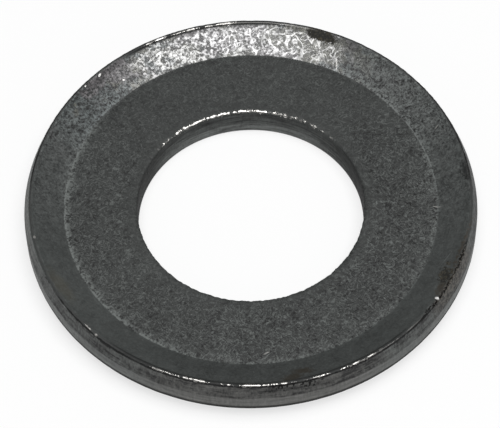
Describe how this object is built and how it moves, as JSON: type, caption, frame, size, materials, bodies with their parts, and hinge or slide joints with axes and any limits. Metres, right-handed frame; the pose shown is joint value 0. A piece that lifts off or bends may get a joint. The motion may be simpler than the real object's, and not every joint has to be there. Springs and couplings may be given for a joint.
{
  "type": "dished spring washer",
  "caption": "Dished steel spring washer with a round bore, a flat land and a rim turned up all the way round.",
  "frame": {"origin": "centre of the bore, in the plane of the flat underside that the washer rests on", "axes": "+Z along the bore, from the flat underside towards the dished face; the washer is a solid of revolution, so X and Y are free"},
  "size_m": [0.021, 0.021, 0.0022],
  "materials": {
    "blackened_steel": "dark phosphated spring steel, matt and slightly mottled, worn bright along the edges"
  },
  "bodies": {
    "root": {"washer": "blackened_steel"}
  },
  "joints": []
}
